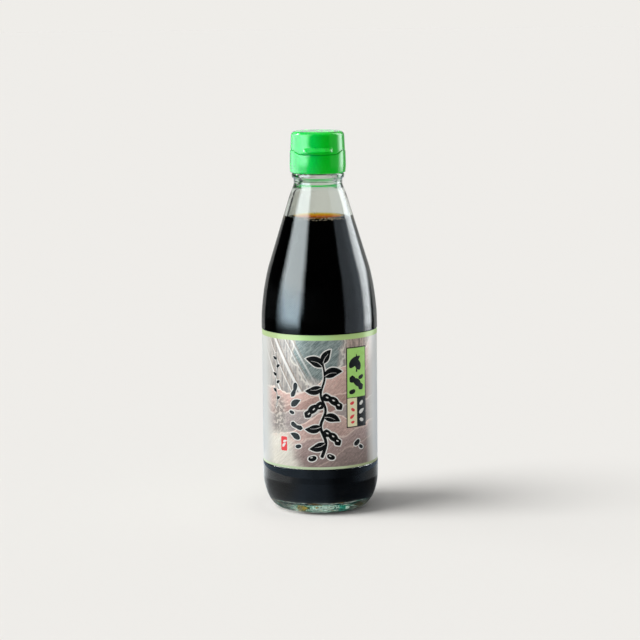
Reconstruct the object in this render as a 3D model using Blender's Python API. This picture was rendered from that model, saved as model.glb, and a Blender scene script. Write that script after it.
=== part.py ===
"""Table bottle of soy sauce, 360 ml, with a hinged flip-top cap, standing shut.

Units are metres. +Z is up, the bottle's axis is the Z axis and its foot stands
on z = 0. The front, where the thumb ledge of the cap is, faces -Y.
"""

import math

import bmesh
import bpy
from mathutils import Vector

MM = 0.001

# Clear space between two pieces that touch
GAP = 0.3 * MM

# Sides of every turned piece. They line up, so nested walls stay parallel.
SIDES = 48

# Body of the bottle
BODY_R = 32.5 * MM
RIDGE_R = 32.6 * MM
FOOT_R = 22.6 * MM
HEEL_TOP = 20.0 * MM
PUSH_UP_R = 19.8 * MM
PUSH_UP = 2.2 * MM

# Label panel, a shallow recess between two low ridges
PANEL_BOTTOM = 26.2 * MM
PANEL_TOP = 102.6 * MM
PANEL_R = 32.0 * MM
LABEL_THICK = 0.22 * MM
LABEL_BOTTOM = 26.7 * MM
LABEL_TOP = 102.1 * MM

# Shoulder and its straight cone up to the neck
SHOULDER_START = 104.5 * MM
CONE_START = 138.0 * MM
CONE_START_R = 28.0 * MM
CONE_END = 175.3 * MM
CONE_END_R = 16.5 * MM

# Neck, its ring under the cap and the finish inside the cap
NECK_R = 13.6 * MM
GROOVE_BOTTOM = 183.3 * MM
GROOVE_TOP = 186.1 * MM
RING_R = 14.65 * MM
RING_BOTTOM = 186.8 * MM
RING_TOP = 189.35 * MM
FINISH_R = 12.9 * MM
MOUTH_TOP = 198.6 * MM
BORE_R = 9.6 * MM

# Inside of the glass
WALL = 3.2 * MM
SHOULDER_WALL = 2.5 * MM
BASE_THICK = 6.2 * MM
INNER_CORNER = 9.5 * MM

# Fill
LEVEL = 165.0 * MM

# Cap
CAP_BOTTOM = 189.7 * MM
CAP_TOP = 213.0 * MM
BASE_FOOT_R = 15.45 * MM
BASE_WAIST_R = 15.75 * MM
BASE_WAIST = 195.0 * MM
BASE_RIM_R = 15.5 * MM
LID_FOOT_R = 15.35 * MM
LID_SHOULDER_R = 14.95 * MM
LID_CORNER = 2.6 * MM
LID_DOME = 0.25 * MM
PARTING_FRONT = 200.15 * MM
PARTING_BACK = 202.25 * MM
PARTING_DIP_FLAT = math.radians(37)
PARTING_DIP_END = math.radians(66)
STEP_R = 12.7 * MM
SOCKET_TOP = 199.0 * MM

# Thumb ledge on the front of the lid
LEDGE_TOP = 204.0 * MM
LEDGE_LIP_TOP = 202.3 * MM
LEDGE_BOTTOM = 201.35 * MM
LEDGE_R = 17.1 * MM
LEDGE_HALF = math.radians(31.5)

# Hinge strap at the back of the cap
HINGE_HALF = math.radians(24)
HINGE_R = 16.1 * MM
HINGE_INNER_R = 14.6 * MM
HINGE_BOTTOM = 198.2 * MM
HINGE_TOP = 205.6 * MM


def clear_scene():
    for obj in list(bpy.data.objects):
        bpy.data.objects.remove(obj, do_unlink=True)


def material(name, color, roughness, metallic=0.0, transmission=0.0, alpha=1.0, ior=1.45):
    mat = bpy.data.materials.new(name)
    mat.use_nodes = True
    shader = mat.node_tree.nodes["Principled BSDF"]
    shader.inputs["Base Color"].default_value = (*color, 1.0)
    shader.inputs["Roughness"].default_value = roughness
    shader.inputs["Metallic"].default_value = metallic
    shader.inputs["Transmission Weight"].default_value = transmission
    shader.inputs["IOR"].default_value = ior
    shader.inputs["Alpha"].default_value = alpha
    mat.diffuse_color = (*color, alpha)
    return mat


def bezier(p0, p1, p2, p3, steps):
    """Points of a cubic curve in (r, z), both ends included."""
    points = []
    for i in range(steps + 1):
        t = i / steps
        s = 1.0 - t
        points.append(tuple(
            s ** 3 * a + 3 * s * s * t * b + 3 * s * t * t * c + t ** 3 * d
            for a, b, c, d in zip(p0, p1, p2, p3)
        ))
    return points


def arc(center, radius, start, end, steps):
    """Points of an arc in (r, z), angles in degrees from the +r direction."""
    points = []
    for i in range(steps + 1):
        a = math.radians(start + (end - start) * i / steps)
        points.append((center[0] + radius * math.cos(a), center[1] + radius * math.sin(a)))
    return points


def smooth_step(t):
    t = min(max(t, 0.0), 1.0)
    return t * t * (3.0 - 2.0 * t)


def add_object(name, bm, mat, sharp=35.0):
    bmesh.ops.recalc_face_normals(bm, faces=bm.faces[:])
    mesh = bpy.data.meshes.new(name)
    bm.to_mesh(mesh)
    bm.free()
    mesh.materials.append(mat)
    mesh.shade_smooth()
    mesh.set_sharp_from_angle(angle=math.radians(sharp))
    obj = bpy.data.objects.new(name, mesh)
    bpy.context.scene.collection.objects.link(obj)
    return obj


def turned(profile, closed=False):
    """A turned solid. The profile runs in (r, z) from axis to axis, or is a closed ring."""
    bm = bmesh.new()
    verts = [bm.verts.new((r, 0.0, z)) for r, z in profile]
    edges = [bm.edges.new(pair) for pair in zip(verts, verts[1:])]
    if closed:
        edges.append(bm.edges.new((verts[-1], verts[0])))
    bmesh.ops.spin(
        bm,
        geom=verts + edges,
        cent=(0.0, 0.0, 0.0),
        axis=(0.0, 0.0, 1.0),
        angle=math.tau,
        steps=SIDES,
        use_merge=True,
    )
    bmesh.ops.remove_doubles(bm, verts=bm.verts[:], dist=1e-6)
    return bm


def cutter(obj):
    obj.hide_render = True
    obj.display_type = "WIRE"


def combine(obj, other, operation):
    modifier = obj.modifiers.new(other.name, "BOOLEAN")
    modifier.operation = operation
    modifier.solver = "EXACT"
    modifier.object = other
    cutter(other)


def heel():
    """Outer curve of the foot, from the resting ring up to the body."""
    return bezier(
        (FOOT_R, 0.0),
        (28.0 * MM, 0.6 * MM),
        (RIDGE_R, 8.4 * MM),
        (RIDGE_R, HEEL_TOP),
        7,
    )


def shoulder():
    """Outer curve from the body into the straight cone."""
    slope = (CONE_END_R - CONE_START_R) / (CONE_END - CONE_START)
    lead = 7.0 * MM
    return bezier(
        (RIDGE_R, SHOULDER_START),
        (RIDGE_R, SHOULDER_START + 11.0 * MM),
        (CONE_START_R - slope * lead, CONE_START - lead),
        (CONE_START_R, CONE_START),
        7,
    )


def neck():
    """Outer curve from the cone into the groove under the ring."""
    return bezier(
        (CONE_END_R, CONE_END),
        (15.1 * MM, 179.6 * MM),
        (14.0 * MM, 181.6 * MM),
        (NECK_R, GROOVE_BOTTOM),
        5,
    )


def outer_profile():
    """Outside of the glass, from the middle of the push-up to the mouth."""
    points = [(0.0, PUSH_UP), (0.55 * PUSH_UP_R, 0.86 * PUSH_UP), (0.86 * PUSH_UP_R, 0.42 * PUSH_UP)]
    points.append((PUSH_UP_R, 0.0))
    points += heel()
    points += [
        (RIDGE_R, PANEL_BOTTOM - 0.9 * MM),
        (PANEL_R, PANEL_BOTTOM),
        (PANEL_R, PANEL_TOP),
        (RIDGE_R, PANEL_TOP + 0.9 * MM),
    ]
    points += shoulder()
    points += neck()
    points += [
        (NECK_R, GROOVE_TOP),
        (RING_R - 0.25 * MM, RING_BOTTOM),
        (RING_R, RING_BOTTOM + 0.5 * MM),
        (RING_R, RING_TOP - 0.5 * MM),
        (RING_R - 0.45 * MM, RING_TOP),
        (FINISH_R, RING_TOP + 0.15 * MM),
        (FINISH_R, MOUTH_TOP - 0.7 * MM),
        (FINISH_R - 0.7 * MM, MOUTH_TOP),
        (BORE_R + 0.6 * MM, MOUTH_TOP),
        (BORE_R, MOUTH_TOP - 0.6 * MM),
    ]
    return points


def inner_profile(inset=0.0, top=None):
    """Inside of the glass from the top down to the middle of the floor.

    With an inset and a top it is the surface of the drink instead.
    """
    body_r = BODY_R - WALL
    points = [
        (BORE_R, 183.2 * MM),
        (CONE_END_R - SHOULDER_WALL - 1.8 * MM, 180.0 * MM),
    ]
    slope = (CONE_END_R - CONE_START_R) / (CONE_END - CONE_START)
    cone_top = (CONE_END_R - SHOULDER_WALL, CONE_END)
    cone_foot = (CONE_START_R - 0.5 * (WALL + SHOULDER_WALL), CONE_START)
    points.append(cone_top)
    if top is not None:
        t = (CONE_END - top) / (CONE_END - CONE_START)
        points = [(cone_top[0] + (cone_foot[0] - cone_top[0]) * t, top)]
    points += bezier(
        cone_foot,
        (cone_foot[0] - slope * 7.0 * MM, CONE_START - 7.0 * MM),
        (body_r, SHOULDER_START + 10.0 * MM),
        (body_r, SHOULDER_START - 1.0 * MM),
        5,
    )
    corner = (body_r - INNER_CORNER, BASE_THICK + INNER_CORNER)
    points += arc(corner, INNER_CORNER, 0.0, -90.0, 4)
    points.append((0.0, BASE_THICK + 0.8 * MM))
    if inset == 0.0:
        return points
    drawn_in = []
    for r, z in points:
        lift = inset if z < corner[1] else 0.0
        drawn_in.append((max(r - inset, 0.0), z + lift))
    return drawn_in


def parting(angle):
    """Height of the line between lid and base, by angle from the front."""
    turn = abs(angle)
    t = (turn - PARTING_DIP_FLAT) / (PARTING_DIP_END - PARTING_DIP_FLAT)
    return PARTING_FRONT + (PARTING_BACK - PARTING_FRONT) * smooth_step(t)


def front_angle(co):
    """Angle round the axis from the front, which is -Y."""
    return math.atan2(co.x, -co.y)


def follow_parting(bm, rest_z, inner_r):
    """Bends the rim that lies at or near rest_z, outside inner_r, along the parting line."""
    for vert in bm.verts:
        radius = math.hypot(vert.co.x, vert.co.y)
        if radius > inner_r and abs(vert.co.z - rest_z) < 0.6 * MM:
            vert.co.z += parting(front_angle(vert.co)) - PARTING_BACK


def make_glass(mat):
    profile = outer_profile() + inner_profile()
    return add_object("glass_bottle", turned(profile), mat, sharp=28.0)


def make_sauce(mat):
    profile = [(0.0, LEVEL)] + inner_profile(inset=GAP + 0.02 * MM, top=LEVEL)
    return add_object("soy_sauce", turned(profile), mat)


def make_label(mat):
    inner = PANEL_R + GAP
    outer = inner + LABEL_THICK
    profile = [
        (inner, LABEL_TOP),
        (outer, LABEL_TOP),
        (outer, LABEL_BOTTOM),
        (inner, LABEL_BOTTOM),
    ]
    return add_object("label_sleeve", turned(profile, closed=True), mat)


def sector(name, mat, r_in, r_out, z_low, z_high, middle, half, steps):
    """A block bent round the axis, centred on an angle from the front."""
    bm = bmesh.new()
    rings = []
    for i in range(steps + 1):
        a = middle - half + 2.0 * half * i / steps
        out = Vector((math.sin(a), -math.cos(a), 0.0))
        rings.append([
            bm.verts.new(out * r_in + Vector((0, 0, z_low))),
            bm.verts.new(out * r_out + Vector((0, 0, z_low))),
            bm.verts.new(out * r_out + Vector((0, 0, z_high))),
            bm.verts.new(out * r_in + Vector((0, 0, z_high))),
        ])
    for ring, following in zip(rings, rings[1:]):
        for i in range(4):
            j = (i + 1) % 4
            bm.faces.new((ring[i], ring[j], following[j], following[i]))
    bm.faces.new(rings[0])
    bm.faces.new(reversed(rings[-1]))
    return add_object(name, bm, mat)


def make_cap_base(mat):
    rim = PARTING_BACK - 0.5 * GAP
    socket_r = FINISH_R + GAP
    profile = [
        (0.0, rim),
        (STEP_R - 0.1 * MM, rim),
        (STEP_R, rim),
        (BASE_RIM_R - 0.25 * MM, rim),
        (BASE_RIM_R, rim - 0.25 * MM),
        (BASE_WAIST_R, BASE_WAIST),
        (BASE_WAIST_R - 0.05 * MM, BASE_WAIST - 2.5 * MM),
        (BASE_FOOT_R, CAP_BOTTOM + 0.9 * MM),
        (BASE_FOOT_R - 0.2 * MM, CAP_BOTTOM + 0.25 * MM),
        (BASE_FOOT_R - 0.7 * MM, CAP_BOTTOM),
        (socket_r + 0.3 * MM, CAP_BOTTOM),
        (socket_r, CAP_BOTTOM + 0.3 * MM),
        (socket_r, SOCKET_TOP),
        (0.0, SOCKET_TOP),
    ]
    bm = turned(profile)
    follow_parting(bm, rim, STEP_R - 0.05 * MM)
    base = add_object("cap_base", bm, mat)
    strap = sector(
        "hinge_strap", mat, HINGE_INNER_R, HINGE_R, HINGE_BOTTOM, HINGE_TOP, math.pi, HINGE_HALF, 7,
    )
    bevel = strap.modifiers.new("rounded", "BEVEL")
    bevel.width = 0.3 * MM
    bevel.segments = 2
    bevel.limit_method = "ANGLE"
    bevel.angle_limit = math.radians(40)
    combine(base, strap, "UNION")
    return base


def make_ledge(mat):
    """Thumb ledge: a lip with a sloping top and rounded ends, bent round the lid."""
    bm = bmesh.new()
    rings = []
    steps = 14
    root_r = LID_FOOT_R - 1.2 * MM
    for i in range(steps + 1):
        side = 2.0 * i / steps - 1.0
        a = LEDGE_HALF * side
        swell = (1.0 - abs(side) ** 5) ** 0.5
        reach = (LID_FOOT_R - 0.4 * MM) + (LEDGE_R - LID_FOOT_R + 0.4 * MM) * swell
        middle = 0.5 * (LEDGE_LIP_TOP + LEDGE_BOTTOM)
        half = 0.5 * (LEDGE_LIP_TOP - LEDGE_BOTTOM)
        section = [
            (root_r, LEDGE_BOTTOM),
            (reach - 0.25 * MM, LEDGE_BOTTOM),
            (reach, LEDGE_BOTTOM + 0.3 * MM),
            (reach, middle + 0.5 * half),
            (reach - 0.3 * MM, LEDGE_LIP_TOP),
            (LID_FOOT_R - 0.25 * MM, LEDGE_TOP),
            (root_r, LEDGE_TOP),
        ]
        out = Vector((math.sin(a), -math.cos(a), 0.0))
        rings.append([bm.verts.new(out * r + Vector((0, 0, z))) for r, z in section])
    count = len(rings[0])
    for ring, following in zip(rings, rings[1:]):
        for i in range(count):
            j = (i + 1) % count
            bm.faces.new((ring[i], ring[j], following[j], following[i]))
    bm.faces.new(rings[0])
    bm.faces.new(reversed(rings[-1]))
    return add_object("thumb_ledge", bm, mat)


def make_cap_lid(mat):
    rim = PARTING_BACK + 0.5 * GAP
    corner = (LID_SHOULDER_R - LID_CORNER, CAP_TOP - LID_DOME - LID_CORNER)
    profile = [(0.0, CAP_TOP), (0.55 * corner[0], CAP_TOP - 0.25 * LID_DOME)]
    profile += arc(corner, LID_CORNER, 90.0, 0.0, 6)
    profile += [
        (LID_FOOT_R - 0.05 * MM, LEDGE_TOP + 0.7 * MM),
        (LID_FOOT_R, rim + 0.25 * MM),
        (LID_FOOT_R - 0.25 * MM, rim),
        (STEP_R + GAP, rim),
        (STEP_R + GAP - 0.1 * MM, rim),
        (0.0, rim),
    ]
    bm = turned(profile)
    follow_parting(bm, rim, STEP_R + GAP - 0.05 * MM)
    lid = add_object("cap_lid", bm, mat)
    combine(lid, make_ledge(mat), "UNION")
    notch = sector(
        "hinge_notch",
        mat,
        HINGE_INNER_R - GAP,
        HINGE_R + 2.0 * MM,
        PARTING_FRONT - 2.0 * MM,
        HINGE_TOP + GAP,
        math.pi,
        HINGE_HALF + GAP / HINGE_R,
        7,
    )
    combine(lid, notch, "DIFFERENCE")
    return lid


def main():
    clear_scene()
    glass = material("clear_glass", (0.83, 0.88, 0.84), 0.03, transmission=1.0, alpha=0.35, ior=1.52)
    sauce = material("soy_sauce", (0.010, 0.004, 0.002), 0.06, ior=1.38)
    paper = material("printed_label", (0.52, 0.50, 0.44), 0.35)
    green = material("green_plastic", (0.0, 0.50, 0.055), 0.22)
    make_glass(glass)
    make_sauce(sauce)
    make_label(paper)
    make_cap_base(green)
    make_cap_lid(green)


main()
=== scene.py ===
"""Looks of the soy sauce bottle: glass, drink, label and cap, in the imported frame.

Metres, +Z up, the bottle's axis is the Z axis and its front faces -Y.
"""

import math
import random

import bmesh
import bpy
from mathutils import Matrix, Vector


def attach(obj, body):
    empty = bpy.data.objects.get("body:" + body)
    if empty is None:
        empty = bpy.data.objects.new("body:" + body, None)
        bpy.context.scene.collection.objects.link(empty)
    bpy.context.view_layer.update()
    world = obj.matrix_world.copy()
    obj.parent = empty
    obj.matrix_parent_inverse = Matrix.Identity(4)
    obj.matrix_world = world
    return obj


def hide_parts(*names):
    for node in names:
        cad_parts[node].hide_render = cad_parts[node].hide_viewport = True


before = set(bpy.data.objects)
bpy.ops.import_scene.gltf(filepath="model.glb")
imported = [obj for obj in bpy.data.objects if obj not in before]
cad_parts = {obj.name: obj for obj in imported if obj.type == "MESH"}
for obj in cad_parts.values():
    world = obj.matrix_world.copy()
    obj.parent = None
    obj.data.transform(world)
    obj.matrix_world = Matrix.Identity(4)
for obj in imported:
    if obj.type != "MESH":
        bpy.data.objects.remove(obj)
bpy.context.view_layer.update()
MM = 0.001

# ---- dimensions
# The same named sizes as the solids.
BODY_R = 32.5
RIDGE_R = 32.6
FOOT_R = 22.6
HEEL_TOP = 20.0
PUSH_UP_R = 19.8
PUSH_UP = 2.2
LABEL_BOTTOM = 26.7
LABEL_TOP = 102.1
SHOULDER_START = 104.5
CONE_START = 138.0
CONE_START_R = 28.0
CONE_END = 175.3
CONE_END_R = 16.5
NECK_R = 13.6
GROOVE_BOTTOM = 183.3
GROOVE_TOP = 186.1
RING_R = 14.65
RING_BOTTOM = 186.8
RING_TOP = 189.35
FINISH_R = 12.9
MOUTH_TOP = 198.6
BORE_R = 9.6
WALL = 3.2
SHOULDER_WALL = 2.5
BASE_THICK = 6.2
INNER_CORNER = 9.5
LEVEL = 165.0
CAP_BOTTOM = 189.7
CAP_TOP = 213.0
BASE_FOOT_R = 15.45
BASE_WAIST_R = 15.75
BASE_WAIST = 195.0
BASE_RIM_R = 15.5
LID_FOOT_R = 15.35
LID_SHOULDER_R = 14.95
LID_CORNER = 2.6
LID_DOME = 0.25
PARTING_FRONT = 200.15
PARTING_BACK = 202.25
STEP_R = 12.7
SOCKET_TOP = 199.0
LEDGE_TOP = 204.0
LEDGE_LIP_TOP = 202.3
LEDGE_BOTTOM = 201.35
LEDGE_R = 17.1
LEDGE_HALF = math.radians(31.5)
HINGE_HALF = math.radians(24)
HINGE_R = 16.1
HINGE_INNER_R = 14.6
HINGE_BOTTOM = 198.2
HINGE_TOP = 205.6

# The film lies in its panel, the printed shapes lie on the film.
PANEL_SKIN_R = 32.24
FILM_IN = 32.28
FILM_OUT = 32.40


# ---- curves
def bezier(p0, p1, p2, p3, steps):
    points = []
    for t in (i / steps for i in range(steps + 1)):
        s = 1.0 - t
        weights = (s ** 3, 3 * s * s * t, 3 * s * t * t, t ** 3)
        points.append(tuple(sum(w * p[axis] for w, p in zip(weights, (p0, p1, p2, p3))) for axis in (0, 1)))
    return points


def line(p0, p1, steps):
    return [(p0[0] + (p1[0] - p0[0]) * i / steps, p0[1] + (p1[1] - p0[1]) * i / steps) for i in range(steps + 1)]


def arc(center, radius, start, end, steps):
    angles = [math.radians(start + (end - start) * i / steps) for i in range(steps + 1)]
    return [(center[0] + radius * math.cos(a), center[1] + radius * math.sin(a)) for a in angles]


def smooth(t):
    t = min(max(t, 0.0), 1.0)
    return t * t * (3.0 - 2.0 * t)


def rounded(points, radius, steps=3):
    """Rounds the inner corners of a profile."""
    out = [points[0]]
    for before, corner, after in zip(points, points[1:], points[2:]):
        a = Vector(before) - Vector(corner)
        b = Vector(after) - Vector(corner)
        reach = min(radius, 0.45 * a.length, 0.45 * b.length)
        p = Vector(corner) + a.normalized() * reach
        q = Vector(corner) + b.normalized() * reach
        for i in range(steps + 1):
            t = i / steps
            out.append(tuple((1 - t) ** 2 * p + 2 * t * (1 - t) * Vector(corner) + t * t * q))
    out.append(points[-1])
    return out


# ---- meshes
def polar(r, angle, z):
    """A point from its radius, its angle to the right of the front and its height in mm."""
    return Vector((r * math.sin(angle), -r * math.cos(angle), z)) * MM


def link(obj):
    bpy.context.scene.collection.objects.link(obj)
    return obj


def new_object(name, bm, materials, smooth_angle=35.0, recalc=True):
    if recalc:
        bmesh.ops.recalc_face_normals(bm, faces=bm.faces[:])
    mesh = bpy.data.meshes.new(name)
    bm.to_mesh(mesh)
    bm.free()
    for mat in materials:
        mesh.materials.append(mat)
    mesh.shade_smooth()
    if smooth_angle:
        mesh.set_sharp_from_angle(angle=math.radians(smooth_angle))
    return link(bpy.data.objects.new(name, mesh))


def ring(bm, r, z, count):
    """A ring of vertices, or nothing where the profile is on the axis."""
    if r < 1e-6:
        return None
    angles = [math.tau * i / count for i in range(count)]
    return [bm.verts.new((r * math.sin(a) * MM, -r * math.cos(a) * MM, z * MM)) for a in angles]


def bridge(bm, low, high, slot=0):
    """Joins two rings. One may have a whole number of times the vertices of the other."""
    n = min(len(low), len(high))
    a, b = len(low) // n, len(high) // n
    faces = []
    for i in range(n):
        lower = [low[(i * a + m) % len(low)] for m in range(a + 1)]
        upper = [high[(i * b + m) % len(high)] for m in range(b, -1, -1)]
        face = bm.faces.new(lower + upper)
        face.material_index = slot
        faces.append(face)
    return faces


def cap_ring(bm, verts, z, slot=0):
    """Closes a ring with a fan to a point on the axis."""
    centre = bm.verts.new((0.0, 0.0, z * MM))
    for a, b in zip(verts, verts[1:] + verts[:1]):
        bm.faces.new((a, b, centre)).material_index = slot


def join_rings(bm, rings, start_z, end_z):
    """Bridges the rings of a profile that starts and ends on the axis."""
    for a, b in zip(rings[1:-1], rings[2:-1]):
        bridge(bm, a, b)
    cap_ring(bm, rings[1], start_z)
    cap_ring(bm, rings[-2], end_z)


# ---- node maths
class Val:
    """A value in a node tree that takes ordinary arithmetic."""

    def __init__(self, sock):
        self.sock = sock
        self.tree = sock.id_data

    def op(self, operation, *others):
        node = self.tree.nodes.new("ShaderNodeMath")
        node.operation = operation
        for sock, value in zip(node.inputs, (self,) + others):
            put(sock, value)
        return Val(node.outputs[0])

    def __add__(self, other):
        return self.op("ADD", other)

    def __sub__(self, other):
        return self.op("SUBTRACT", other)

    def __mul__(self, other):
        return self.op("MULTIPLY", other)

    def __neg__(self):
        return self.op("MULTIPLY", -1.0)


def put(sock, value):
    """Gives a socket a link, a colour or a number."""
    if isinstance(value, Val):
        value.tree.links.new(value.sock, sock)
    else:
        sock.default_value = (*value, 1.0) if isinstance(value, tuple) else value


def feed(node, **values):
    """Puts values into a node's inputs by name, with _ for a space."""
    for name, value in values.items():
        put(node.inputs[name.replace("_", " ")], value)
    return node


def node_for(kind, *values):
    """A new node in the tree of the first of the values that is in one."""
    tree = next(value.tree for value in values if isinstance(value, Val))
    return tree.nodes.new("ShaderNode" + kind)


def rise(value, low, high):
    """0 below low, 1 above high, smooth between."""
    node = node_for("MapRange", value)
    node.interpolation_type = "SMOOTHSTEP"
    return Val(feed(node, Value=value, From_Min=low, From_Max=high).outputs["Result"])


def fall(value, low, high):
    return -rise(value, low, high) + 1.0


def band(value, low, high, soft):
    return rise(value, low - soft, low + soft) * fall(value, high - soft, high + soft)


def root_of_squares(a, b):
    return (a * a + b * b).op("SQRT")


def azimuth(x, y):
    """Degrees round from the front, more than 0 at the right."""
    return x.op("ARCTAN2", -y) * (180.0 / math.pi)


def mix(fac, a, b, blend="MIX"):
    node = node_for("Mix", fac, a, b)
    node.data_type = "RGBA"
    node.blend_type = blend
    for index, value in ((0, fac), (6, a), (7, b)):
        put(node.inputs[index], value)
    return Val(node.outputs[2])


def noise(place, scale, detail=2.0, rough=0.5, distortion=0.0):
    node = node_for("TexNoise", place)
    feed(node, Vector=place, Scale=scale, Detail=detail, Roughness=rough, Distortion=distortion)
    return Val(node.outputs["Fac"])


def vector(x, y, z=0.0):
    node = node_for("CombineXYZ", x, y)
    for sock, value in zip(node.inputs, (x, y, z)):
        put(sock, value)
    return Val(node.outputs[0])


def coordinates(tree, kind="Object"):
    """The place as x, y and z, and as a vector."""
    place = Val(tree.nodes.new("ShaderNodeTexCoord").outputs[kind])
    split = node_for("SeparateXYZ", place)
    put(split.inputs[0], place)
    return [Val(sock) for sock in split.outputs], place


def material(name):
    """A new material, its shader, and the place in the object."""
    mat = bpy.data.materials.new(name)
    mat.use_nodes = True
    return (mat, mat.node_tree.nodes["Principled BSDF"], *coordinates(mat.node_tree))


def bump(shader, height, distance, strength=1.0):
    node = feed(node_for("Bump", height), Height=height, Distance=distance, Strength=strength)
    feed(shader, Normal=Val(node.outputs["Normal"]))


def absorb(mat, color, density):
    node = feed(mat.node_tree.nodes.new("ShaderNodeVolumeAbsorption"), Color=color, Density=density)
    feed(mat.node_tree.nodes["Material Output"], Volume=Val(node.outputs["Volume"]))


def choose(fac, one, other):
    """One shader where fac is 0 and the other where it is 1."""
    node = node_for("MixShader", fac)
    for sock, value in zip(node.inputs, (fac, one, other)):
        put(sock, value)
    return Val(node.outputs[0])


def seen(r, g, b, light=0.74):
    """Albedo of a surface that reads as this screen colour, 0 to 255, in the studio's light."""
    return tuple(min(((c / 255 + 0.055) / 1.055) ** 2.4 / light, 0.95) for c in (r, g, b))


# ---- materials
def glass_material():
    mat, shader, (x, y, z), position = material("clear_bottle_glass")
    feed(shader, Base_Color=(0.850, 0.855, 0.820), Roughness=0.0, IOR=1.52, Transmission_Weight=1.0)
    ripple = noise(vector(x, y, z * 0.3), 45.0, 1.0, 0.4)
    under = fall(z, 0.0018, 0.0030) * fall(root_of_squares(x, y), 0.0205, 0.0225)
    bump(shader, ripple * 0.025 + noise(position, 420.0, 2.0) * under * 0.5, 0.001)
    absorb(mat, (0.50, 0.84, 0.72), 14.0)
    return mat


def sauce_clear_material():
    mat, shader, xyz, position = material("sauce_near_its_surface")
    feed(shader, Base_Color=(1.0, 1.0, 1.0), Roughness=0.0, IOR=1.38, Transmission_Weight=1.0)
    bump(shader, noise(position, 260.0, 2.0), 0.00005, 0.25)
    absorb(mat, (0.972, 0.770, 0.0), 2700.0)
    return mat


def sauce_deep_material():
    mat, shader, (x, y, z), position = material("sauce_in_depth_with_painted_reflection")
    color = mix(noise(position, 40.0, 2.0), (0.0009, 0.0004, 0.0004), (0.0016, 0.0007, 0.0006))
    feed(shader, Base_Color=color, Roughness=0.5, Specular_IOR_Level=0.0)
    # against the denser glass the drink mirrors at a shallow angle, in waves; at the bottom the mirror's colour is
    # painted with orange and teal spots, a painted reflection of light coming through the foot
    low = fall(z, 0.0068, 0.0076)
    spots = noise(vector(x, y, 0.02), 190.0, 1.0)
    shade = mix(rise(spots, 0.57, 0.63), (0.97, 0.98, 0.97), (0.80, 0.46, 0.10))
    shade = mix(fall(spots, 0.38, 0.44), shade, (0.10, 0.52, 0.44))
    sheen = feed(node_for("BsdfGlossy", low), Color=mix(low, (0.96, 0.97, 0.96), shade), Roughness=0.0)
    bump(sheen, noise(position, 260.0, 2.0, 0.5) * low, 0.0009)
    glance = feed(node_for("Fresnel", low), IOR=0.908)
    both = choose(Val(glance.outputs[0]), Val(shader.outputs[0]), Val(sheen.outputs[0]))
    feed(mat.node_tree.nodes["Material Output"], Surface=both)
    return mat


def plastic_material(name, base, deep):
    mat, shader, xyz, position = material(name)
    feed(shader, Base_Color=mix(noise(position, 130.0, 3.0), base, deep),
         Roughness=noise(position, 700.0, 3.0) * 0.06 + 0.13, IOR=1.5, Specular_IOR_Level=0.3)
    bump(shader, noise(position, 1600.0, 2.0), 0.00001, 0.12)
    return mat


def print_material(name, color, other=None, roughness=0.28):
    mat, shader, xyz, position = material(name)
    shade = mix(noise(position, 420.0, 3.0), color, other or tuple(c * 0.9 for c in color))
    rough = noise(position, 300.0, 2.0) * 0.08 + (roughness - 0.04)
    feed(shader, Base_Color=shade, Roughness=rough, Specular_IOR_Level=0.3)
    return mat


BORDER_GREEN = seen(163, 200, 136)


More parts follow.
